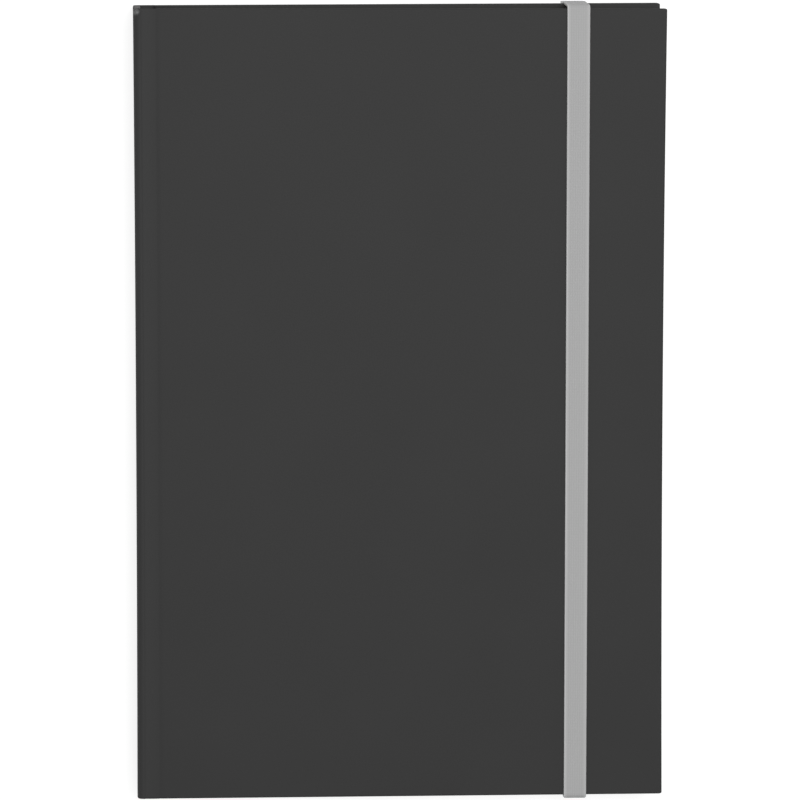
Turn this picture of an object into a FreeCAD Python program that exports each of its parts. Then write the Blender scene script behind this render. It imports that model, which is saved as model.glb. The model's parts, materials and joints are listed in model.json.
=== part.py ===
"""Hard-covered pocket notebook with a sewn block of eight sections and an elastic closure.

It lies closed on its back cover: +X from the spine to the fore-edge, +Y from tail to head, +Z from
the back cover to the front cover. The origin is under the middle of the notebook, at the level of
the elastic's two short runs on the back. Millimetres.
"""

import os

import FreeCAD
import Part

# Driving dimensions
COVER_W = 95.0
COVER_H = 142.4
THICK = 14.2  # over both covers
COVERING = 0.25
BOARD = 1.8
SPINE_BOARD = 1.0
CORNER_R = 0.45  # covers' corners, in plan
SPINE_R = 1.2  # rounding along the spine's two long edges, centred on the cover hinges
JOINT_END = 4.4  # the boards start here; the covering alone bends between this and the spine
JOINT_DIP = 0.12  # the joint zone lies this much lower than the boards
TURN_IN = 14.0
PAPER_W = 90.0
PAPER_H = 136.0
PAPER_X = 2.0  # from the spine's outer face to the folds
PASTEDOWN = 0.12
PASTEDOWN_BACK = 0.4  # its edge stays this far from the joint zone
FLYLEAF = 0.12
AIR = 0.04
SECTIONS_PER_HALF = 4
MIDDLE = 0.5  # left between the two halves for the leaves that turn
LEAVES = 4
LEAF = 0.08
LEAF_PITCH = 0.12
LEAF_START = 0.6  # of paper left at the fold, so that the leaves can turn
FOLD_R = 0.4
LINING = 0.3
LINING_SHORT = 4.0  # of the leaves' height, at head and at tail
THREAD_R = 0.18
THREAD_ROWS = (-52.0, -26.0, 0.0, 26.0, 52.0)
BAND_W = 4.0
BAND_T = 0.6
BAND_X = 79.3  # from the spine's outer face to the middle of the elastic
BAND_GAP = 0.05
BAND_DENT = 0.05  # the elastic presses this far into the back's covering
SLOT_IN = 9.0  # from the cover's edge to the slot that the elastic goes through
SLOT_W = 0.9
HEADBAND_R = 0.45

BEYOND = 1.0  # cutting solids run this far past what they cut
SAME = 1e-6  # lengths this close are equal

# Levels, measured from the back cover's outer face, and the face's own height
FLOOR = BAND_T - BAND_DENT
INNER = COVERING + BOARD
PAPER_Z = INNER + PASTEDOWN + AIR
MID_Z = THICK / 2
SECTIONS_Z = PAPER_Z + FLYLEAF + AIR
SECTION_PITCH = (MID_Z - MIDDLE / 2 - SECTIONS_Z) / SECTIONS_PER_HALF
SECTION_T = SECTION_PITCH - AIR


def place(shape):
    """Moves a shape from spine-and-back-cover measures to the model's origin."""
    return shape.translated(FreeCAD.Vector(-COVER_W / 2, 0, FLOOR))


def box(x0, x1, y0, y1, z0, z1):
    return Part.makeBox(x1 - x0, y1 - y0, z1 - z0, FreeCAD.Vector(x0, y0, z0))


def strip(outline, half_h):
    """A solid with the given outline of (x, z), running along Y from tail to head."""
    points = [FreeCAD.Vector(x, -half_h, z) for x, z in outline]
    face = Part.Face(Part.makePolygon([*points, points[0]]))
    return face.extrude(FreeCAD.Vector(0, 2 * half_h, 0))


def rounded_plate(x0, x1, half_h, z0, z1, radius):
    """A plate whose two fore-edge corners are rounded."""
    plate = box(x0, x1, -half_h, half_h, z0, z1)
    upright = [e for e in plate.Edges if abs(e.BoundBox.ZLength - (z1 - z0)) < SAME]
    corners = [e for e in upright if e.BoundBox.XMin > x1 - SAME]
    return plate.makeFillet(radius, corners)


def mirrored(shape):
    """The same piece on the other cover, mirrored in the middle of the block's thickness."""
    return shape.mirror(FreeCAD.Vector(0, 0, MID_Z), FreeCAD.Vector(0, 0, 1))


def at_tail(shape):
    """The same piece at the tail."""
    return shape.mirror(FreeCAD.Vector(0, 0, 0), FreeCAD.Vector(0, 1, 0))


def band_slots():
    """The two slots in the back cover that the elastic passes through."""
    x0 = BAND_X - BAND_W / 2 - BAND_GAP
    x1 = BAND_X + BAND_W / 2 + BAND_GAP
    y0 = COVER_H / 2 - SLOT_IN - SLOT_W
    head = box(x0, x1, y0, y0 + SLOT_W, -BEYOND, PAPER_Z)
    return head.fuse(at_tail(head))


def band_dents():
    """Where the elastic's short outside runs press into the covering."""
    x0 = BAND_X - BAND_W / 2 - BAND_GAP
    x1 = BAND_X + BAND_W / 2 + BAND_GAP
    y0 = COVER_H / 2 - SLOT_IN - SLOT_W
    head = box(x0, x1, y0, COVER_H / 2 + BEYOND, -BEYOND, BAND_DENT)
    return head.fuse(at_tail(head))


def board():
    """The back cover's board, thinner by the turned-in covering round three sides."""
    edge = COVER_W - COVERING
    half = COVER_H / 2 - COVERING
    solid = rounded_plate(JOINT_END, edge, half, COVERING, INNER, CORNER_R - COVERING)
    inner = box(0, edge - TURN_IN, -half + TURN_IN, half - TURN_IN, INNER - COVERING, INNER)
    rim = box(0, COVER_W, -half, half, INNER - COVERING, INNER).cut(inner)
    return solid.cut(rim)


def covering():
    """The back cover's covering: outside, over three edges and turned in, with the joint zone."""
    half = COVER_H / 2
    edge = COVER_W - COVERING
    shell = rounded_plate(JOINT_END, COVER_W, half, 0, INNER, CORNER_R)
    core = rounded_plate(0, edge, half - COVERING, COVERING, INNER - COVERING, CORNER_R - COVERING)
    inside = half - TURN_IN - COVERING
    opening = box(0, edge - TURN_IN, -inside, inside, INNER / 2, INNER)
    outer_face = [
        (SPINE_R, 0),
        (SPINE_R + JOINT_DIP, 0),
        (SPINE_R + 2 * JOINT_DIP, JOINT_DIP),
        (JOINT_END - JOINT_DIP, JOINT_DIP),
        (JOINT_END, 0),
    ]
    inner_face = [(x, z + COVERING) for x, z in reversed(outer_face)]
    joint = strip(outer_face + inner_face, half)
    return shell.cut(core).cut(opening).fuse(joint).removeSplitter()


def pastedown():
    """The endpaper's half that is glued inside the back cover."""
    x0 = JOINT_END + PASTEDOWN_BACK
    return box(x0, PAPER_X + PAPER_W, -PAPER_H / 2, PAPER_H / 2, INNER, INNER + PASTEDOWN)


def flyleaf():
    """The endpaper's free half, against the block."""
    return box(PAPER_X, PAPER_X + PAPER_W, -PAPER_H / 2, PAPER_H / 2, PAPER_Z, PAPER_Z + FLYLEAF)


def joint_roll():
    """The covering where it bends round the spine's long edge, a quarter round on the hinge's axis."""
    start = FreeCAD.Vector(SPINE_R, -COVER_H / 2, SPINE_R)
    along = FreeCAD.Vector(0, 1, 0)
    outer = Part.makeCylinder(SPINE_R, COVER_H, start, along)
    inner = Part.makeCylinder(SPINE_R - COVERING, COVER_H, start, along)
    corner = box(0, SPINE_R, -COVER_H / 2, COVER_H / 2, 0, SPINE_R)
    return outer.cut(inner).common(corner)


def spine_wrap():
    return box(0, COVERING, -COVER_H / 2, COVER_H / 2, SPINE_R, THICK - SPINE_R)


def spine_board():
    half = COVER_H / 2 - COVERING
    z0 = SPINE_R + COVERING
    return box(COVERING, COVERING + SPINE_BOARD, -half, half, z0, THICK - z0)


def section(z0):
    """Six sheets folded together: a flat pack of leaves, rounded at the fold."""
    plate = box(PAPER_X, PAPER_X + PAPER_W, -PAPER_H / 2, PAPER_H / 2, z0, z0 + SECTION_T)
    lengthwise = [e for e in plate.Edges if abs(e.BoundBox.YLength - PAPER_H) < SAME]
    folds = [e for e in lengthwise if e.BoundBox.XMax < PAPER_X + SAME]
    return plate.makeFillet(FOLD_R, folds)


def leaf(number):
    """One of the leaves that turn at the open middle, counted from the back."""
    z0 = MID_Z + (number - (LEAVES - 1) / 2) * LEAF_PITCH - LEAF / 2
    x0 = PAPER_X + LEAF_START
    return box(x0, PAPER_X + PAPER_W, -PAPER_H / 2, PAPER_H / 2, z0, z0 + LEAF)


def spine_lining():
    """The open-weave cloth glued over the folds."""
    z0 = SECTIONS_Z
    half = PAPER_H / 2 - LINING_SHORT
    return box(PAPER_X - LINING, PAPER_X, -half, half, z0, THICK - z0)


def endband():
    """The round-edged strip at the head of the folds."""
    z0 = SECTIONS_Z
    foot = FreeCAD.Vector(PAPER_X + 2 * HEADBAND_R, PAPER_H / 2 + HEADBAND_R + AIR, z0)
    return Part.makeCylinder(HEADBAND_R, THICK - 2 * z0, foot, FreeCAD.Vector(0, 0, 1))


def sewing_thread():
    """The thread's chain down each row of sewing stations, between the lining and the hollow back."""
    rows = []
    for y in THREAD_ROWS:
        start = FreeCAD.Vector(PAPER_X - LINING - THREAD_R, y, SECTIONS_Z + THREAD_R)
        length = THICK - 2 * SECTIONS_Z - 2 * THREAD_R
        rows.append(Part.makeCylinder(THREAD_R, length, start, FreeCAD.Vector(0, 0, 1)))
    return Part.makeCompound(rows)


def band():
    """The elastic's free length: over the head edge, along the front and over the tail edge."""
    x0 = BAND_X - BAND_W / 2
    half = COVER_H / 2 + BAND_GAP
    outer = box(x0, x0 + BAND_W, -half - BAND_T, half + BAND_T, BAND_GAP, THICK + BAND_GAP + BAND_T)
    crosswise = [e for e in outer.Edges if abs(e.BoundBox.XLength - BAND_W) < SAME]
    outer = outer.makeFillet(BAND_T, [e for e in crosswise if e.BoundBox.ZMin > THICK])
    x_low = x0 - BEYOND
    inner = box(x_low, x0 + BAND_W + BEYOND, -half, half, -BEYOND, THICK + BAND_GAP)
    return outer.cut(inner)


def band_end():
    """The elastic's short run on the back at the head, through the slot and glued inside."""
    x0 = BAND_X - BAND_W / 2
    x1 = x0 + BAND_W
    edge = COVER_H / 2
    slot_y = edge - SLOT_IN - (SLOT_W + BAND_T) / 2
    low = BAND_DENT - BAND_T
    outside = box(x0, x1, slot_y, edge + BAND_GAP + BAND_T, low, BAND_DENT)
    through = box(x0, x1, slot_y, slot_y + BAND_T, low, INNER)
    return outside.fuse(through).removeSplitter()


def pieces():
    """Every sub-part by name, in place relative to the spine's outer face and the back cover's."""
    found = {}
    slots = band_slots()
    dents = band_dents()
    found["back_board"] = board().cut(slots)
    found["back_cover_wrap"] = covering().cut(slots).cut(dents)
    found["back_pastedown"] = pastedown()
    found["back_flyleaf"] = flyleaf()
    found["front_board"] = mirrored(board())
    found["front_cover_wrap"] = mirrored(covering())
    found["front_pastedown"] = mirrored(pastedown())
    found["front_flyleaf"] = mirrored(flyleaf())
    found["spine_board"] = spine_board()
    found["spine_wrap"] = spine_wrap()
    found["back_joint_roll"] = joint_roll()
    found["front_joint_roll"] = mirrored(joint_roll())
    for i in range(SECTIONS_PER_HALF):
        z0 = SECTIONS_Z + i * SECTION_PITCH
        found[f"section_{2 * SECTIONS_PER_HALF - i}"] = section(z0)
        found[f"section_{i + 1}"] = mirrored(section(z0))
    for i in range(LEAVES):
        found[f"turning_leaf_{LEAVES - i}"] = leaf(i)
    found["spine_lining"] = spine_lining()
    found["sewing_thread"] = sewing_thread()
    found["headband"] = endband()
    found["tailband"] = at_tail(endband())
    found["elastic_band"] = band()
    found["band_end_head"] = band_end()
    found["band_end_tail"] = at_tail(band_end())
    return found


os.makedirs("parts", exist_ok=True)
for name, shape in pieces().items():
    place(shape).exportStep(f"parts/{name}.step")
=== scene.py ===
"""Looks of the closed pocket notebook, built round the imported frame. Metres."""

import json
import math
import random

import bmesh
import bpy
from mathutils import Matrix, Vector


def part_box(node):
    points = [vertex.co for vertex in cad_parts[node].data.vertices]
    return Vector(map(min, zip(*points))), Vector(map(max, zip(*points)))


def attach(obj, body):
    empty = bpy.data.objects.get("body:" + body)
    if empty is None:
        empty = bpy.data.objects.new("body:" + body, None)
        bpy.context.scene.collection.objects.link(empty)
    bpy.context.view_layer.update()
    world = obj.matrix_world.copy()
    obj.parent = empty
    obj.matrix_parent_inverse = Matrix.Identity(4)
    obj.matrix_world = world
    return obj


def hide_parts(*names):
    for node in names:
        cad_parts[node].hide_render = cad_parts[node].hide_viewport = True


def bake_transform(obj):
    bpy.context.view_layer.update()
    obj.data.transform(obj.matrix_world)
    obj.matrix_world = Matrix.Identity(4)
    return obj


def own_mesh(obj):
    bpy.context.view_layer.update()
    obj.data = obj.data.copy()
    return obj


MM = 0.001

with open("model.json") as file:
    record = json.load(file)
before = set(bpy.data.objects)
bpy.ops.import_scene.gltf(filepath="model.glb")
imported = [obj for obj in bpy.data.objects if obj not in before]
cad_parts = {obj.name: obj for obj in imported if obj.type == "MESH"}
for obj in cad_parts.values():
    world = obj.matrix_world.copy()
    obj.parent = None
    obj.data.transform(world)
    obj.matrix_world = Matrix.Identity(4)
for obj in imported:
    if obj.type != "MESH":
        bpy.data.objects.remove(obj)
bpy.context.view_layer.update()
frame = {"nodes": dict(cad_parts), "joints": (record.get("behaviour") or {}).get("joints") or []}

# Places, from the frame
SPINE_LOW, SPINE_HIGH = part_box("spine_wrap")
FRONT_LOW, FRONT_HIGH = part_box("front_cover_wrap")
SECTION_LOW, SECTION_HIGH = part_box("section_1")
BAND_LOW, BAND_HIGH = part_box("elastic_band")
BAND_T = 0.6 * MM
BAND_W = BAND_HIGH.x - BAND_LOW.x + 0.1 * MM
BAND_FLAT = BAND_W - BAND_T  # between the two rounded edges
# width of the painted highlight along each edge of the elastic
EDGE_HIGHLIGHT_W = 0.35 * MM
RIBS = 8
RIB_DEPTH = 0.02 * MM
BAND_BEND = 0.75 * MM
RUN_HANG = 1.6 * MM  # how far the long run comes down past each bend
LEG_TOP = 1.5 * MM  # how far below the run the lengths over head and tail begin
LEG_SKEW = 0.6 * MM
JOINTS = {j["name"]: j for j in frame["joints"]}
MID_AXIS = Vector(JOINTS["open_flat"]["pos_m"])
FRONT_AXIS = Vector(JOINTS["front_cover_hinge"]["pos_m"])
SPINE_X = SPINE_LOW.x
SPINE_R = FRONT_AXIS.x - SPINE_X
BACK_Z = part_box("back_cover_wrap")[0].z
FRONT_Z = FRONT_HIGH.z
MID_Z = MID_AXIS.z
HALF_H = FRONT_HIGH.y
EDGE_X = FRONT_HIGH.x

# Sizes of the covering and boards
COVERING = SPINE_HIGH.x - SPINE_LOW.x
COVER_T = FRONT_HIGH.z - FRONT_LOW.z
JOINT_END = SPINE_X + 4.4 * MM
JOINT_DIP = 0.12 * MM
EDGE_R = 0.28 * MM
CORNER_R = 0.3 * MM
THIN_INSET = 0.09 * MM
SWELL_H = 0.035 * MM  # how far the pressed board is out of flat
SWELL_REACH = (0.095, 0.142)  # the width and height that its waves are spread over
TURN_IN = 14.0 * MM
# How far the head edge runs out of square, and how much it leans in towards the pages
HEAD_SLOPE = {"front": -0.14 * MM, "back": 0.3 * MM}
HEAD_LEAN = {"front": 0.05, "back": 0.0}
# How far the long edges are moved along X at their ends, and how much more at the middle
SPINE_BOW = (0.08, 0.13)
FORE_EDGE_BOW = (0.12, -0.32)

# Paper
FOLD_X = SECTION_LOW.x
PAPER_EDGE = SECTION_HIGH.x
PAPER_HALF_H = SECTION_HIGH.y
SHEETS_PER_SECTION = 6
SECTIONS_PER_HALF = 4
LEAF_T = 0.078 * MM
TRIM = 0.05 * MM  # how unevenly the leaves are trimmed
SPREAD_OUT = 0.28 * MM  # the centre spread's faces, from the middle
SPREAD_T = 0.05 * MM
SPREAD_DEPTH = 0.85 * MM
RULE_PITCH = 6.0 * MM
RULE_HALF_W = 0.13 * MM
RULED_HALF_H = 56 * MM

# Sewing
THREAD_ROWS = 5
THREAD_R = 0.11 * MM

# Colours
COVER_GREYS = (0.0285, 0.0305)
# a shade lighter: the painted highlight on the strip where the cover bends
HINGE_HIGHLIGHT_GREY = (0.0315, 0.0315, 0.0315)
# light grey of worn corners and of the painted highlight on the spine's edge
RUBBED_AND_HIGHLIGHT_GREY = (0.18, 0.18, 0.18)
PAPER = (0.82, 0.79, 0.70)
RULE = (0.36, 0.36, 0.38)
ELASTIC_GREYS = (0.31, 0.35)
ELASTIC_FUZZ = (0.42, 0.42, 0.42)
# paler grey of the painted highlight on the elastic's edges
EDGE_HIGHLIGHT_GREY = (0.46, 0.46, 0.46)

# Room
FLOOR_HALF = 3.0
FLOOR_GREY = (0.3, 0.3, 0.3, 1)
FLOOR_GLOW = 0.78
WORLD_GLOW = 0.3
KEY_PLACE = (0.06, 0.22, 1.05)
KEY_WATTS = 10.6
KEY_SIZE = 0.5
CAMERA_PLACE = (-0.0475, 0.1077, 0.8844)
CAMERA_DEGREES = (-6.98, -3.12, 0.04)
CAMERA_LENS = 220.3


# ---------------------------------------------------------------- meshes

def new_object(name, verts, faces, uvs=None, smooth=True):
    """A mesh object; uvs, in metres, has one pair for each vertex."""
    mesh = bpy.data.meshes.new(name)
    mesh.from_pydata([tuple(v) for v in verts], [], faces)
    if uvs is not None:
        layer = mesh.uv_layers.new(name="UVMap")
        for loop in mesh.loops:
            layer.data[loop.index].uv = uvs[loop.vertex_index]
    mesh.polygons.foreach_set("use_smooth", [smooth] * len(mesh.polygons))
    mesh.validate()
    mesh.update()
    obj = bpy.data.objects.new(name, mesh)
    bpy.context.scene.collection.objects.link(obj)
    return obj


def loft(name, rings, uv_rings=None, smooth=True, sharp=None):
    """Closed rings of equal length, joined in order and capped at both ends."""
    count = len(rings[0])
    verts = [p for ring in rings for p in ring]
    faces = []
    for i in range(len(rings) - 1):
        for j in range(count):
            k = (j + 1) % count
            a, b = i * count, (i + 1) * count
            faces.append((a + j, a + k, b + k, b + j))
    faces.append(tuple(reversed(range(count))))
    last = (len(rings) - 1) * count
    faces.append(tuple(range(last, last + count)))
    uvs = [uv for ring in uv_rings for uv in ring] if uv_rings else None
    obj = new_object(name, verts, faces, uvs, smooth)
    if sharp is not None:
        mark_sharp(obj, sharp)
    recalculate(obj)
    return obj


def recalculate(obj):
    """Every face turned to look outwards."""
    bm = bmesh.new()
    bm.from_mesh(obj.data)
    bmesh.ops.recalc_face_normals(bm, faces=bm.faces)
    bm.to_mesh(obj.data)
    bm.free()


def mark_sharp(obj, degrees):
    """Edges that turn by more than this many degrees are shaded as sharp."""
    bm = bmesh.new()
    bm.from_mesh(obj.data)
    limit = math.radians(degrees)
    for edge in bm.edges:
        if len(edge.link_faces) == 2:
            edge.smooth = edge.calc_face_angle(0) < limit
    bm.to_mesh(obj.data)
    bm.free()


def arc(centre, radius, start, end, steps):
    """Points (x, z) on an arc, angles in degrees from +X towards +Z, both ends included."""
    found = []
    for i in range(steps + 1):
        a = math.radians(start + (end - start) * i / steps)
        found.append((centre[0] + radius * math.cos(a), centre[1] + radius * math.sin(a)))
    return found


def line(a, b, steps):
    """Points from a to b, without a and with b."""
    return [
        (a[0] + (b[0] - a[0]) * i / steps, a[1] + (b[1] - a[1]) * i / steps)
        for i in range(1, steps + 1)
    ]


def lengths(points):
    """How far along a run of points each one lies."""
    found = [0.0]
    for a, b in zip(points, points[1:]):
        found.append(found[-1] + math.dist(a, b))
    return found


# ---------------------------------------------------------------- covers

def end_steps(radius, steps=5):
    """The rings of a rounded edge: (distance from the end, how far the ring is drawn in)."""
    found = []
    for i in range(steps + 1):
        a = math.pi / 2 * i / steps
        found.append((radius * (1 - math.sin(math.pi / 2 - a)), radius * (1 - math.sin(a))))
    return sorted(found)


def cover_profile():
    """The front cover's section from the middle of the spine, outside first: (x, z, thin)."""
    outer = line((SPINE_X, MID_Z), (SPINE_X, FRONT_AXIS.z - 0.3 * MM), 3)
    outer += arc((FRONT_AXIS.x, FRONT_AXIS.z), SPINE_R, 180, 90, 10)
    # the shallow groove of the joint
    outer += [
        (FRONT_AXIS.x + 0.08 * MM, FRONT_Z - 0.01 * MM),
        (FRONT_AXIS.x + 0.26 * MM, FRONT_Z - JOINT_DIP * 0.85),
        (FRONT_AXIS.x + 0.4 * MM, FRONT_Z - JOINT_DIP),
        (FRONT_AXIS.x + 1.6 * MM, FRONT_Z - JOINT_DIP * 0.8),
        (JOINT_END - 0.6 * MM, FRONT_Z - JOINT_DIP),
        (JOINT_END - 0.25 * MM, FRONT_Z - JOINT_DIP * 0.7),
        (JOINT_END + 0.05 * MM, FRONT_Z - JOINT_DIP * 0.15),
        (JOINT_END + 0.5 * MM, FRONT_Z),
    ]
    outer += line((JOINT_END + 0.5 * MM, FRONT_Z), (EDGE_X - 1.6 * MM, FRONT_Z), 14)
    outer += line(outer[-1], (EDGE_X - EDGE_R - 0.3 * MM, FRONT_Z), 2)
    outer += arc((EDGE_X - EDGE_R, FRONT_Z - EDGE_R), EDGE_R, 90, 0, 6)
    low = FRONT_Z - COVER_T
    inner = arc((EDGE_X - EDGE_R, low + EDGE_R), EDGE_R, 0, -90, 6)
    inner += line(inner[-1], (EDGE_X - 1.6 * MM, low), 2)
    inner += line(inner[-1], (JOINT_END - 0.1 * MM, low), 8)
    # up the end of the board to the covering's own inside
    under = FRONT_Z - JOINT_DIP - COVERING
    inner += [
        (JOINT_END - 0.35 * MM, low + 0.2 * MM),
        (JOINT_END - 0.42 * MM, under - 0.2 * MM),
        (JOINT_END - 0.75 * MM, under),
    ]
    inner += line(inner[-1], (FRONT_AXIS.x, FRONT_Z - COVERING - 0.05 * MM), 3)
    inner += arc((FRONT_AXIS.x, FRONT_AXIS.z), SPINE_R - COVERING, 90, 180, 8)[1:]
    inner += line(inner[-1], (SPINE_X + COVERING, MID_Z), 3)
    points = [(SPINE_X, MID_Z)] + outer + inner
    return [(x, z, x < JOINT_END - 0.5 * MM) for x, z in points]


def drawn_in(points, amount):
    """The closed section moved inwards by amount, and by less where it is only covering."""
    count = len(points)
    found = []
    for i, (x, z, thin) in enumerate(points):
        ax, az, _ = points[i - 1]
        bx, bz, _ = points[(i + 1) % count]
        if i == 0:
            ax, az = x, z - 1
        if i == count - 1:
            bx, bz = x, z - 1
        dx, dz = bx - ax, bz - az
        size = math.hypot(dx, dz) or 1.0
        inset = min(amount, THIN_INSET) if thin else amount
        if i in (0, count - 1):
            # the seam in the middle of the spine only gets thinner
            found.append((x + (inset if i == 0 else -inset), z))
        else:
            found.append((x + dz / size * inset, z - dx / size * inset))
    return found


def swell(x, y, seed):
    """A faint, smooth unevenness of the pressed board, in metres."""
    u, v = (x - SPINE_X) / SWELL_REACH[0], y / SWELL_REACH[1]
    wave = math.sin(2.3 * u + 1.7 * v + seed) + 0.6 * math.sin(4.1 * v - 2.9 * u + 2 * seed)
    return SWELL_H * wave * min(1.0, max(0.0, (x - JOINT_END) / (8 * MM)))


def off_square(x, y, side):
    """Where a perfect cover's point lies on this one: long edges bow in, the head slopes."""
    along = y / HALF_H
    across = (x - SPINE_X) / (EDGE_X - SPINE_X)
    bow = 1 - along**2
    at_spine = (SPINE_BOW[0] + SPINE_BOW[1] * bow) * MM
    at_edge = (FORE_EDGE_BOW[0] + FORE_EDGE_BOW[1] * bow) * MM
    x += at_spine + (at_edge - at_spine) * across
    return x, y + HEAD_SLOPE[side] * across * max(0.0, along)


def cover_rings(side):
    """Rings of (x, y, z) from tail to head."""
    section = cover_profile()
    near = end_steps(EDGE_R)
    near += [(d * MM, 0.0) for d in (0.45, 0.7, 1.0, 1.5, 2.3)]
    span = HALF_H - 4.0 * MM
    steps = 18
    stations = [(-HALF_H + d, inset) for d, inset in near]
    stations += [(-span + 2 * span * i / steps, 0.0) for i in range(steps + 1)]
    stations += [(HALF_H - d, inset) for d, inset in reversed(near)]
    along = lengths([(x, z) for x, z, _ in section])
    rings, uvs = [], []
    for y, inset in stations:
        ring = []
        from_end = HALF_H - abs(y)
        cut = 0.0
        if from_end < CORNER_R:
            cut = CORNER_R - math.sqrt(CORNER_R**2 - (CORNER_R - from_end) ** 2)
        for (x0, _, _), (x, z) in zip(section, drawn_in(section, inset)):
            x -= cut * min(1.0, max(0.0, (x0 - (EDGE_X - 2.0 * MM)) / (1.5 * MM)))
            lean = HEAD_LEAN[side] * (FRONT_Z - z) * max(0.0, y / HALF_H)
            z += swell(x0, y, 4.0 if side == "back" else 1.0)
            if side == "back":
                z = 2 * MID_Z - z
            ring.append((*off_square(x, y - lean, side), z))
        rings.append(ring)
        uvs.append([(s, y) for s in along])
    return rings, uvs


def wear_and_highlight_of(co):
    """How much lighter the covering is painted, 0 to 1: worn corners, a light spot by the spine's
    head, and a painted highlight on the spine's edge near the head.
    """
    from_spine = abs(co.x - SPINE_X)
    dx = min(abs(co.x - EDGE_X), from_spine)
    dy = HALF_H - abs(co.y)
    corner = 0.45 * math.exp(-(dx**2 + dy**2) / (0.8 * MM) ** 2)
    # a light spot near the head by the spine, on the front cover only
    light_spot = math.hypot(from_spine - 0.75 * MM, HALF_H - co.y - 0.6 * MM) / (0.45 * MM)
    if co.z > MID_Z:
        corner += math.exp(-(light_spot**2))
    # painted highlight: the spine's rounded edge is painted lighter, more towards the head
    outside = min(abs(co.z - FRONT_Z), abs(co.z - BACK_Z))
    rim = math.exp(-from_spine / (0.5 * MM)) * math.exp(-outside / (1.2 * MM))
    near_head = min(1.0, max(0.0, 0.3 + co.y / HALF_H))
    return min(1.0, corner + 0.75 * rim * near_head)


def hinge_highlight_of(co):
    """1 in the strip where the cover bends, which a painted highlight makes a shade lighter, and 0
    away from it.
    """
    return min(1.0, max(0.0, (JOINT_END + 0.6 * MM - co.x) / (2.5 * MM)))


def add_attribute(obj, name, value_of):
    """A value for each vertex, for the material to read."""
    layer = obj.data.attributes.new(name, "FLOAT", "POINT")
    layer.data.foreach_set("value", [value_of(v.co) for v in obj.data.vertices])


def make_covers(material):
    """The covering of each cover, in one piece with its half of the spine."""
    for side in ("front", "back"):
        rings, uvs = cover_rings(side)
        cover = loft(f"covering_{side}", rings, uvs, sharp=50)
        add_attribute(cover, "wear_and_highlight", wear_and_highlight_of)
        add_attribute(cover, "joint", hinge_highlight_of)
        cover.data.materials.append(material)
        if side == "front":
            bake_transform(cover)
            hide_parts("front_cover_wrap", "front_joint_roll")
        else:
            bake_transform(cover)
            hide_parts("back_cover_wrap", "back_joint_roll", "spine_wrap")


def make_spine_turn_ins(material):
    """The covering folded in over the two ends of the spine's board."""
    low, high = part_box("spine_board")
    wall, bend = 0.14 * MM, 0.12 * MM
    for name, sign in (("tail", -1), ("head", 1)):
        rings, uvs = [], []
        for from_end, inset in [(TURN_IN, 0.0), (TURN_IN / 2, 0.0)] + end_steps(bend)[::-1]:
            grow = wall - inset
            x0, x1 = low.x + inset, high.x + grow
            z0, z1 = low.z - grow, high.z + grow
            ring = [(x0, z0), (x0, z1)]
            ring += arc((x1 - bend, z1 - bend), bend, 90, 0, 4)
            ring += arc((x1 - bend, z0 + bend), bend, 0, -90, 4)
            y = sign * (HALF_H - 0.05 * MM - from_end)
            rings.append([(x, y, z) for x, z in ring])
            uvs.append([(s, y) for s in lengths(ring)])
        piece = loft(f"spine_turn_in_{name}", rings, uvs, sharp=50)
        add_attribute(piece, "wear_and_highlight", lambda co: 0.0)
        add_attribute(piece, "joint", lambda co: 0.0)
        piece.data.materials.append(material)
        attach(piece, "spine")


# ---------------------------------------------------------------- paper

def fold_arc(x, low, high, depth):
    """The fold's curve from the lower leaf to the upper, depth deep, (x, z)."""
    middle, half = (low + high) / 2, (high - low) / 2
    return [(x - depth * u, middle + half * v) for u, v in arc((0, 0), 1, -90, 90, 8)]


def sheet_profile(low, high, reach, fold, depth, thick):
    """One folded sheet's section: from the lower leaf's edge round the fold to the upper leaf's."""
    stops = [reach, FOLD_X + 30 * MM, FOLD_X + 8 * MM, FOLD_X + 3 * MM, fold + depth + thick]
    outside = [(x, low) for x in stops]
    outside += fold_arc(fold + depth, low, high, depth)
    outside += [(x, high) for x in reversed(stops)]
    low, high, depth = low + thick, max(high - thick, low + 1.01 * thick), depth - thick
    inside = [(x, low) for x in stops]
    inside += fold_arc(fold + depth + thick, low, high, max(depth, 0.1 * thick))
    inside += [(x, high) for x in reversed(stops)]
    return outside + inside[::-1]


def section_sheets(low, high, draw):
    """The nested sheets between two levels, each as (section, half its height)."""
    pitch = (high - low) / (2 * SHEETS_PER_SECTION)
    found = []
    for i in range(SHEETS_PER_SECTION):
        z0 = low + i * pitch
        z1 = high - i * pitch
        reach = PAPER_EDGE + draw.uniform(-TRIM, 0)
        half = PAPER_HALF_H + draw.uniform(-TRIM, 0)
        fold = FOLD_X + i * LEAF_T * 1.1
        profile = sheet_profile(z0, z1, reach, fold, (z1 - z0) / 2, LEAF_T)
        found.append((profile, half))
    return found


def add_sheets(name, profiles, material, edge_material):
    """One object from many sheets, each drawn out along Y."""
    verts, faces, uvs, edges = [], [], [], []
    for profile, half in profiles:
        first = len(verts)
        count = len(profile)
        steps = 3
        for i in range(steps + 1):
            y = -half + 2 * half * i / steps
            verts += [(x, y, z) for x, z in profile]
            uvs += [(x - FOLD_X, y) for x, _ in profile]
        turn = count // 2
        for i in range(steps):
            for j in range(count):
                k = (j + 1) % count
                a = first + i * count
                faces.append((a + j, a + k, a + count + k, a + count + j))
                edges.append(j in (turn - 1, count - 1))
        for row in (0, steps):
            a = first + row * count
            # the two ends are strips between the sheet's outside and its inside
            for j in range(turn - 1):
                faces.append((a + j, a + j + 1, a + count - 2 - j, a + count - 1 - j))
                edges.append(True)
    obj = new_object(name, verts, faces, uvs, smooth=False)
    recalculate(obj)
    obj.data.materials.append(material)
    obj.data.materials.append(edge_material)
    obj.data.polygons.foreach_set("material_index", [int(e) for e in edges])
    return obj


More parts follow.
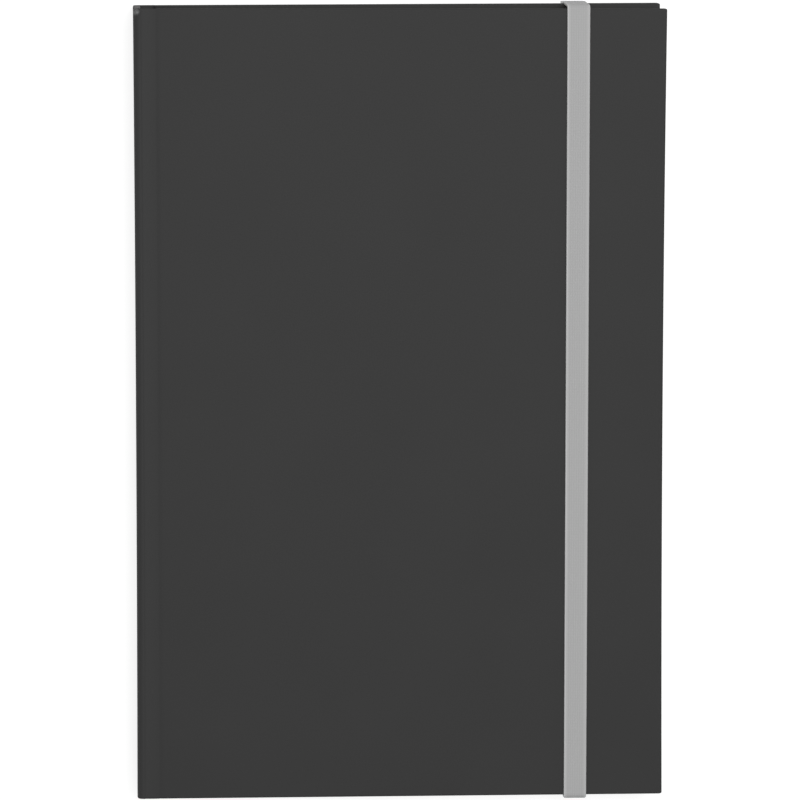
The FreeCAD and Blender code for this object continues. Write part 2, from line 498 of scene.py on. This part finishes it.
def make_block(paper, paper_edge):
    """The eight sections: four in front and four behind, each half one piece."""
    draw = random.Random(7)
    for side, first in (("front", 1), ("back", 5)):
        profiles = []
        for number in range(first, first + SECTIONS_PER_HALF):
            low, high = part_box(f"section_{number}")
            profiles += section_sheets(low.z, high.z, draw)
        block = add_sheets(f"pages_{side}", profiles, paper, paper_edge)
        if side == "front":
            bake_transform(block)
        else:
            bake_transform(block)
        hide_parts(*(f"section_{n}" for n in range(first, first + SECTIONS_PER_HALF)))


def make_spread(paper, paper_edge):
    """The sheet across the middle, whose fold lies between the two halves."""
    profile = sheet_profile(
        MID_Z - SPREAD_OUT,
        MID_Z + SPREAD_OUT,
        PAPER_EDGE,
        FOLD_X - SPREAD_DEPTH + 0.3 * MM,
        SPREAD_DEPTH,
        SPREAD_T,
    )
    spread = add_sheets("centre_spread", [(profile, PAPER_HALF_H)], paper, paper_edge)
    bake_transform(spread)


def make_leaves(paper):
    """Four leaves, each a flat sheet in the place of its frame part."""
    columns, rows = 30, 6
    for number in range(1, 5):
        low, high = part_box(f"turning_leaf_{number}")
        verts, faces, uvs = [], [], []
        for z in (low.z, high.z):
            for j in range(rows + 1):
                y = low.y + (high.y - low.y) * j / rows
                for i in range(columns + 1):
                    x = low.x + (high.x - low.x) * i / columns
                    verts.append((x, y, z))
                    uvs.append((x - FOLD_X, y))
        width, layer = columns + 1, (columns + 1) * (rows + 1)
        for j in range(rows):
            for i in range(columns):
                a = j * width + i
                quad = (a, a + 1, a + width + 1, a + width)
                faces.append(tuple(reversed(quad)))
                faces.append(tuple(v + layer for v in quad))
        rim = list(range(width))
        rim += [width * (j + 1) - 1 for j in range(1, rows + 1)]
        rim += [layer - 1 - i for i in range(1, width)]
        rim += [width * j for j in range(rows - 1, 0, -1)]
        for a, b in zip(rim, rim[1:] + rim[:1]):
            faces.append((a, b, b + layer, a + layer))
        leaf = new_object(f"leaf_{number}_sheet", verts, faces, uvs)
        mark_sharp(leaf, 40)
        recalculate(leaf)
        leaf.data.materials.append(paper)
        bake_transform(leaf)
        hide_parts(f"turning_leaf_{number}")


# ---------------------------------------------------------------- elastic

def band_section():
    """The elastic's section, (across, up): ribs on both faces and rounded edges."""
    flat = BAND_FLAT / 2
    steps = RIBS * 4
    face = []
    for i in range(steps + 1):
        groove = RIB_DEPTH * (1 - abs(math.sin(math.pi * RIBS * i / steps)))
        face.append((-flat + BAND_FLAT * i / steps, BAND_T / 2 - groove))
    found = face + arc((flat, 0), BAND_T / 2, 75, -75, 5)
    found += [(-u, -v) for u, v in face]
    found += arc((-flat, 0), BAND_T / 2, 255, 105, 5)
    return found


def band_bend(y, z, start, end):
    """The elastic's path round a corner of the covers, angles in degrees from +Y towards +Z."""
    found = []
    for i in range(9):
        a = math.radians(start + (end - start) * i / 8)
        normal = (math.cos(a), math.sin(a))
        found.append(((y + BAND_BEND * normal[0], z + BAND_BEND * normal[1]), normal))
    return found


def make_band(material):
    """The elastic: its long run with the two bends, and the two lengths over head and tail."""
    mid_x = (BAND_LOW.x + BAND_HIGH.x) / 2 - 0.04 * MM
    top = BAND_HIGH.z - BAND_T / 2
    reach = BAND_HIGH.y - BAND_T / 2
    section = band_section()
    path = [((-reach, top - RUN_HANG), (-1, 0)), ((-reach, top - BAND_BEND - 0.2 * MM), (-1, 0))]
    path += band_bend(-reach + BAND_BEND, top - BAND_BEND, 180, 90)
    steps = 24
    for i in range(1, steps):
        y = (-reach + BAND_BEND) + 2 * (reach - BAND_BEND) * i / steps
        path.append(((y, top + 0.03 * MM * math.sin(i * 2.1)), (0, 1)))
    path += band_bend(reach - BAND_BEND, top - BAND_BEND, 90, 0)
    path += [((reach, top - BAND_BEND - 0.2 * MM), (1, 0)), ((reach, top - RUN_HANG), (1, 0))]
    run = band_piece("elastic_run", path, section, mid_x, material)
    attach(run, "band")
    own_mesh(run)
    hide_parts("elastic_band")
    floor = BAND_LOW.z - 0.3 * MM
    for sign, name in ((-1, "tail"), (1, "head")):
        levels = [floor + (top - LEG_TOP - floor) * i / 6 for i in range(7)]
        leg_path = [((sign * reach, z), (sign, 0)) for z in levels]
        leg = band_piece(f"elastic_over_{name}", leg_path, section, mid_x, material)
        for vert in leg.data.vertices:
            vert.co.x += LEG_SKEW * (top - LEG_TOP - vert.co.z) / (top - floor)
        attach(leg, "back_cover")
        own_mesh(leg)


def band_piece(name, path, section, mid_x, material):
    """The elastic's section along a path of ((y, z), (normal y, normal z))."""
    rings, uvs = [], []
    along = lengths([spot for spot, _ in path])
    round_section = lengths(section)
    for ((y, z), (ny, nz)), s in zip(path, along):
        rings.append([(mid_x + u, y + ny * v, z + nz * v) for u, v in section])
        uvs.append([(r, s) for r in round_section])
    obj = loft(name, rings, uvs, sharp=60)
    obj.data.materials.append(material)
    return obj


# ---------------------------------------------------------------- spine parts

def make_spine_parts(materials):
    """Lining, thread and endbands, each in two halves, one with each of the block's two halves."""
    z0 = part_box("section_8")[0].z
    z1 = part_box("section_1")[1].z
    halves = (
        ("back", z0, MID_Z, ("back_cover", "middle_sections")),
        ("front", MID_Z, z1, ("front_half", "front_sections")),
    )
    nodes = ("spine_lining", "sewing_thread", "headband", "tailband")
    for side, low, high, pair in halves:
        made = [
            lining_piece(side, low, high, materials["lining"]),
            thread_piece(side, low, high, materials["thread"]),
            endband_piece(f"headband_{side}", 1, low, high, materials["endband"]),
            endband_piece(f"tailband_{side}", -1, low, high, materials["endband"]),
        ]
        for piece, slot in zip(made, ("lining", "thread", "endband", "endband")):
            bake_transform(piece)
        if side == "back":
            for piece, node in zip(made, nodes):
                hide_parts(node)


def lining_piece(side, low, high, material):
    """One half of the strip glued over the folds."""
    box_low, box_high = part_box("spine_lining")
    corners = [(box_low.x, box_low.y), (box_high.x, box_low.y)]
    corners += [(box_high.x, box_high.y), (box_low.x, box_high.y)]
    steps = 8
    levels = [low + (high - low) * i / steps for i in range(steps + 1)]
    rings = [[(x, y, z) for x, y in corners] for z in levels]
    uvs = [[(r[0][2], p[1]) for p in r] for r in rings]
    obj = loft(f"lining_{side}", rings, uvs, smooth=False)
    obj.data.materials.append(material)
    return obj


def thread_piece(side, low, high, material):
    """The sewing's chain stitches across the sections, one row at each station."""
    box_low, box_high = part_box("sewing_thread")
    sides, steps = 8, 24
    x0 = MID_AXIS.x + THREAD_R + 0.05 * MM
    span = box_high.y - box_low.y - 2 * THREAD_R
    verts, faces = [], []
    for row in range(THREAD_ROWS):
        y0 = box_low.y + THREAD_R + span * row / (THREAD_ROWS - 1)
        first = len(verts)
        for i in range(steps + 1):
            z = low + (high - low) * i / steps
            y = y0 + 0.12 * MM * math.sin(i * math.pi / 3)
            for k in range(sides):
                a = 2 * math.pi * k / sides
                verts.append((x0 + THREAD_R * math.cos(a), y + THREAD_R * math.sin(a), z))
        for i in range(steps):
            a = first + i * sides
            for k in range(sides):
                n = (k + 1) % sides
                faces.append((a + k, a + n, a + sides + n, a + sides + k))
    obj = new_object(f"thread_{side}", verts, faces)
    recalculate(obj)
    obj.data.materials.append(material)
    return obj


def endband_piece(name, sign, low, high, material):
    """The woven bead at the head or tail of the folds, with a bulge for each stitch."""
    box_low, box_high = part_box("headband" if sign > 0 else "tailband")
    centre_x = (box_low.x + box_high.x) / 2
    centre_y = (box_low.y + box_high.y) / 2
    radius = (box_high.x - box_low.x) / 2
    sides, steps = 12, 36
    rings, uvs = [], []
    for i in range(steps + 1):
        z = low + (high - low) * i / steps
        r = radius * (0.84 + 0.1 * abs(math.sin(i * math.pi / 4)))
        angles = [2 * math.pi * k / sides for k in range(sides)]
        rings.append([(centre_x + r * math.cos(a), centre_y + r * math.sin(a), z) for a in angles])
        uvs.append([(a * r, z) for a in angles])
    obj = loft(name, rings, uvs)
    obj.data.materials.append(material)
    return obj


# ---------------------------------------------------------------- materials

def new_material(name):
    """A material with one principled shader."""
    material = bpy.data.materials.new(name)
    material.use_nodes = True
    tree = material.node_tree
    tree.nodes.clear()
    shader = tree.nodes.new("ShaderNodeBsdfPrincipled")
    output = tree.nodes.new("ShaderNodeOutputMaterial")
    tree.links.new(shader.outputs["BSDF"], output.inputs["Surface"])
    return material, tree, shader


def add(tree, kind, **settings):
    """A node with its properties and input values set."""
    node = tree.nodes.new(kind)
    inputs = settings.pop("inputs", {})
    for key, value in settings.items():
        setattr(node, key, value)
    for key, value in inputs.items():
        node.inputs[key].default_value = value
    return node


def ramp(tree, source, stops):
    """A colour ramp with stops of (place, grey or colour)."""
    node = tree.nodes.new("ShaderNodeValToRGB")
    items = node.color_ramp.elements
    while len(items) < len(stops):
        items.new(0.5)
    for item, (place, colour) in zip(items, stops):
        item.position = place
        item.color = (*colour, 1) if isinstance(colour, tuple) else (colour, colour, colour, 1)
    tree.links.new(source, node.inputs["Fac"])
    return node.outputs["Color"]


def mapped(tree, scale):
    """The piece's own UVs, which are in metres, scaled."""
    coords = tree.nodes.new("ShaderNodeUVMap")
    coords.uv_map = "UVMap"
    place = add(tree, "ShaderNodeMapping", inputs={"Scale": scale})
    tree.links.new(coords.outputs["UV"], place.inputs["Vector"])
    return place.outputs["Vector"]


def noise(tree, vector, scale, detail=3.0, roughness=0.5):
    """Smooth noise, 0 to 1."""
    inputs = {"Scale": scale, "Detail": detail, "Roughness": roughness}
    node = add(tree, "ShaderNodeTexNoise", inputs=inputs)
    tree.links.new(vector, node.inputs["Vector"])
    return node.outputs["Fac"]


def bump(tree, shader, height, strength, distance):
    """Fine relief, too small to be in the mesh."""
    node = add(tree, "ShaderNodeBump", inputs={"Strength": strength, "Distance": distance})
    tree.links.new(height, node.inputs["Height"])
    tree.links.new(node.outputs["Normal"], shader.inputs["Normal"])


def finish_surface(shader, rough, specular=None, sheen=None):
    """The shader's plain values, where no texture drives them."""
    if rough is not None:
        shader.inputs["Roughness"].default_value = rough
    if specular is not None:
        shader.inputs["Specular IOR Level"].default_value = specular
    if sheen is not None:
        shader.inputs["Sheen Weight"].default_value = sheen
        shader.inputs["Sheen Roughness"].default_value = 0.5


def mix(tree, factor, a, b, blend_type="MIX"):
    """A colour mix; each input is a socket or a colour."""
    node = add(tree, "ShaderNodeMix", data_type="RGBA", blend_type=blend_type)
    for key, value in (("Factor", factor), ("A", a), ("B", b)):
        socket = [s for s in node.inputs if s.name == key and s.enabled][0]
        if isinstance(value, (float, tuple)):
            socket.default_value = (*value, 1) if isinstance(value, tuple) else value
        else:
            tree.links.new(value, socket)
    return [s for s in node.outputs if s.enabled][0]


def maths(tree, operation, a, b=None):
    """A maths node; each input is a socket or a number."""
    node = add(tree, "ShaderNodeMath", operation=operation)
    for socket, value in zip(node.inputs, (a, b)):
        if isinstance(value, (int, float)):
            socket.default_value = value
        elif value is not None:
            tree.links.new(value, socket)
    return node.outputs[0]


def cover_material():
    """Charcoal soft-touch covering: fine grain, faint cloudiness, worn corners, and painted
    highlights on the spine's edge and on the hinge strip.
    """
    material, tree, shader = new_material("charcoal_covering")
    vector = mapped(tree, (1, 1, 1))
    cloud = noise(tree, vector, 45.0, 2.0)
    grain = noise(tree, vector, 5200.0, 3.0, 0.6)
    flat = ramp(tree, cloud, [(0.3, COVER_GREYS[0]), (0.7, COVER_GREYS[1])])
    # painted highlight: the strip where the cover bends is painted a shade lighter
    joint = add(tree, "ShaderNodeAttribute", attribute_name="joint")
    base = mix(tree, joint.outputs["Fac"], flat, HINGE_HIGHLIGHT_GREY)
    fleck = ramp(tree, grain, [(0.35, 0.9), (0.65, 1.1)])
    toned = mix(tree, 1.0, base, fleck, "MULTIPLY")
    # worn corners and a painted highlight on the spine's edge, mixed towards a light grey
    wear_and_highlight = add(tree, "ShaderNodeAttribute", attribute_name="wear_and_highlight")
    patches = noise(tree, vector, 1500.0, 4.0, 0.65)
    rubbed_and_highlight = maths(tree, "MULTIPLY", wear_and_highlight.outputs["Fac"], patches)
    rubbed_and_highlight = ramp(tree, rubbed_and_highlight, [(0.16, 0.0), (0.6, 0.85)])
    colour = mix(tree, rubbed_and_highlight, toned, RUBBED_AND_HIGHLIGHT_GREY)
    tree.links.new(colour, shader.inputs["Base Color"])
    rough = ramp(tree, cloud, [(0.2, 0.6), (0.8, 0.63)])
    tree.links.new(rough, shader.inputs["Roughness"])
    finish_surface(shader, None, 0.11, 0.01)
    bump(tree, shader, grain, 0.35, 0.00002)
    return material


def paper_material(name, colour):
    """Uncoated ivory paper with fibres, and grey rules across the leaves."""
    material, tree, shader = new_material(name)
    vector = mapped(tree, (1, 1, 1))
    fibre = noise(tree, mapped(tree, (1, 3, 1)), 900.0, 5.0, 0.6)
    cloud = noise(tree, vector, 90.0, 3.0)
    dark = tuple(c * 0.975 for c in colour)
    base = ramp(tree, cloud, [(0.3, dark), (0.7, colour)])
    split = add(tree, "ShaderNodeSeparateXYZ")
    tree.links.new(vector, split.inputs[0])
    up = maths(tree, "ADD", split.outputs["Y"], 0.5)
    row = maths(tree, "PINGPONG", up, RULE_PITCH / 2)
    on_rule = maths(tree, "LESS_THAN", row, RULE_HALF_W)
    from_middle = maths(tree, "ABSOLUTE", split.outputs["Y"])
    inside = maths(tree, "LESS_THAN", from_middle, RULED_HALF_H)
    mask = maths(tree, "MULTIPLY", on_rule, inside)
    mask = maths(tree, "MULTIPLY", mask, 0.55)
    base = mix(tree, mask, base, RULE)
    tree.links.new(base, shader.inputs["Base Color"])
    finish_surface(shader, 0.85, 0.25)
    bump(tree, shader, fibre, 0.25, 0.00002)
    return material


def paper_edge_material():
    """The trimmed edges of the leaves, each a little different."""
    material, tree, shader = new_material("paper_edges")
    shade = add(tree, "ShaderNodeNewGeometry")
    stops = [(0.0, (0.56, 0.52, 0.43)), (1.0, (0.80, 0.76, 0.66))]
    random_shade = ramp(tree, shade.outputs["Random Per Island"], stops)
    tree.links.new(random_shade, shader.inputs["Base Color"])
    finish_surface(shader, 0.9, 0.2)
    return material


def elastic_material():
    """Light grey woven elastic: lengthwise ribs, fine cross threads, and edges made paler by a
    painted highlight.
    """
    material, tree, shader = new_material("grey_elastic")
    vector = mapped(tree, (1, 1, 1))
    cross = add(
        tree,
        "ShaderNodeTexWave",
        wave_type="BANDS",
        bands_direction="Y",
        inputs={"Scale": 1100.0, "Distortion": 1.0, "Detail": 2.0, "Detail Scale": 3.0},
    )
    tree.links.new(vector, cross.inputs["Vector"])
    ribs = add(
        tree,
        "ShaderNodeTexWave",
        wave_type="BANDS",
        bands_direction="X",
        inputs={"Scale": 739.0, "Distortion": 0.3, "Detail": 1.0},
    )
    tree.links.new(vector, ribs.inputs["Vector"])
    weave = maths(tree, "MULTIPLY", cross.outputs["Fac"], ribs.outputs["Fac"])
    fuzz = noise(tree, vector, 2600.0, 4.0, 0.6)
    base = ramp(tree, weave, [(0.0, ELASTIC_GREYS[0]), (0.8, ELASTIC_GREYS[1])])
    woven = mix(tree, maths(tree, "MULTIPLY", fuzz, 0.2), base, ELASTIC_FUZZ)
    # painted highlight: a strip along each edge of the band is painted paler
    split = add(tree, "ShaderNodeSeparateXYZ")
    tree.links.new(vector, split.inputs[0])
    across = maths(tree, "SUBTRACT", split.outputs["X"], BAND_FLAT / 2)
    off_middle = maths(tree, "ABSOLUTE", across)
    past = maths(tree, "SUBTRACT", off_middle, BAND_FLAT / 2 - EDGE_HIGHLIGHT_W)
    edge = maths(tree, "MULTIPLY", past, 900.0)
    colour = mix(tree, maths(tree, "MAXIMUM", edge, 0.0), woven, EDGE_HIGHLIGHT_GREY)
    tree.links.new(colour, shader.inputs["Base Color"])
    finish_surface(shader, 0.82, 0.12, 0.05)
    bump(tree, shader, weave, 0.3, 0.00004)
    return material


def cloth_material(name, light, dark, scale):
    """A plain weave, for the lining, the thread and the endbands."""
    material, tree, shader = new_material(name)
    coords = add(tree, "ShaderNodeTexCoord")
    inputs = {"Scale": scale, "Distortion": 0.5}
    check = add(tree, "ShaderNodeTexWave", bands_direction="Z", inputs=inputs)
    tree.links.new(coords.outputs["Object"], check.inputs["Vector"])
    base = ramp(tree, check.outputs["Fac"], [(0.2, dark), (0.8, light)])
    tree.links.new(base, shader.inputs["Base Color"])
    finish_surface(shader, 0.9)
    bump(tree, shader, check.outputs["Fac"], 0.4, 0.00005)
    return material


def board_material():
    """Grey pulp board with darker specks."""
    material, tree, shader = new_material("grey_board")
    coords = add(tree, "ShaderNodeTexCoord")
    specks = noise(tree, coords.outputs["Object"], 1200.0, 4.0, 0.7)
    base = ramp(tree, specks, [(0.35, (0.2, 0.18, 0.15)), (0.65, (0.32, 0.29, 0.25))])
    tree.links.new(base, shader.inputs["Base Color"])
    finish_surface(shader, 0.9)
    bump(tree, shader, specks, 0.4, 0.0001)
    return material


def endpaper_material():
    """Ivory endpaper, a shade darker than the leaves."""
    material, tree, shader = new_material("ivory_endpaper")
    coords = add(tree, "ShaderNodeTexCoord")
    fibre = noise(tree, coords.outputs["Object"], 900.0, 5.0, 0.6)
    base = ramp(tree, fibre, [(0.3, (0.68, 0.65, 0.56)), (0.7, (0.74, 0.71, 0.62))])
    tree.links.new(base, shader.inputs["Base Color"])
    finish_surface(shader, 0.8)
    bump(tree, shader, fibre, 0.2, 0.00003)
    return material


def dress_frame(materials):
    """Materials for the CAD nodes that stay in view."""
    wanted = {
        "board": ("front_board", "back_board", "spine_board"),
        "endpaper": ("front_pastedown", "back_pastedown", "front_flyleaf", "back_flyleaf"),
        "elastic_end": ("band_end_head", "band_end_tail"),
    }
    for key, nodes in wanted.items():
        for node in nodes:
            slots = frame["nodes"][node].data.materials
            slots.clear()
            slots.append(materials[key])


# ---------------------------------------------------------------- room

def make_room():
    """A floor that glows a little, as a light table does, under one soft lamp and a pale sky."""
    mesh = bpy.data.meshes.new("floor")
    corners = [(x * FLOOR_HALF, y * FLOOR_HALF, 0) for x, y in ((-1, -1), (1, -1), (1, 1), (-1, 1))]
    mesh.from_pydata(corners, [], [(0, 1, 2, 3)])
    floor = bpy.data.objects.new("floor", mesh)
    bpy.context.scene.collection.objects.link(floor)
    material, _, shader = new_material("floor_light_table")
    shader.inputs["Base Color"].default_value = FLOOR_GREY
    shader.inputs["Emission Color"].default_value = (1, 1, 1, 1)
    shader.inputs["Emission Strength"].default_value = FLOOR_GLOW
    finish_surface(shader, 0.9, 0.0)
    mesh.materials.append(material)
    world = bpy.data.worlds.new("studio")
    world.use_nodes = True
    background = world.node_tree.nodes["Background"]
    background.inputs["Color"].default_value = (1, 1, 1, 1)
    background.inputs["Strength"].default_value = WORLD_GLOW
    scene = bpy.context.scene
    scene.world = world
    add_light("key", KEY_PLACE, KEY_WATTS, KEY_SIZE)
    scene.view_settings.view_transform = "Standard"
    scene.view_settings.look = "None"


def add_light(name, place, watts, size):
    """A round area lamp that faces the origin."""
    data = bpy.data.lights.new(name, "AREA")
    data.energy = watts
    data.shape = "DISK"
    data.size = size
    lamp = bpy.data.objects.new(name, data)
    bpy.context.scene.collection.objects.link(lamp)
    lamp.location = place
    lamp.rotation_euler = (-Vector(place)).to_track_quat("-Z", "Y").to_euler()


def make_camera():
    """Looks down at the front cover from a little beyond its head and over the spine's edge."""
    data = bpy.data.cameras.new("camera")
    data.sensor_width = 36.0
    data.lens = CAMERA_LENS
    data.clip_start = 0.01
    camera = bpy.data.objects.new("camera", data)
    bpy.context.scene.collection.objects.link(camera)
    camera.location = CAMERA_PLACE
    camera.rotation_euler = [math.radians(a) for a in CAMERA_DEGREES]
    bpy.context.scene.camera = camera


def main():
    """The room, the materials and every piece."""
    make_camera()
    make_room()
    lining = cloth_material("open_weave_lining", (0.78, 0.77, 0.72), (0.55, 0.54, 0.5), 700.0)
    ends = cloth_material("elastic_ends", (0.44, 0.44, 0.44), (0.36, 0.36, 0.36), 800.0)
    materials = {
        "cover": cover_material(),
        "paper": paper_material("ivory_paper", PAPER),
        "edge": paper_edge_material(),
        "elastic": elastic_material(),
        "lining": lining,
        "thread": cloth_material("waxed_thread", (0.8, 0.78, 0.72), (0.6, 0.58, 0.52), 1500.0),
        "endband": cloth_material("woven_endband", (0.62, 0.62, 0.62), (0.3, 0.3, 0.3), 420.0),
        "board": board_material(),
        "endpaper": endpaper_material(),
        "elastic_end": ends,
    }
    dress_frame(materials)
    make_covers(materials["cover"])
    make_spine_turn_ins(materials["cover"])
    make_block(materials["paper"], materials["edge"])
    make_spread(materials["paper"], materials["edge"])
    make_leaves(materials["paper"])
    make_band(materials["elastic"])
    make_spine_parts(materials)


main()
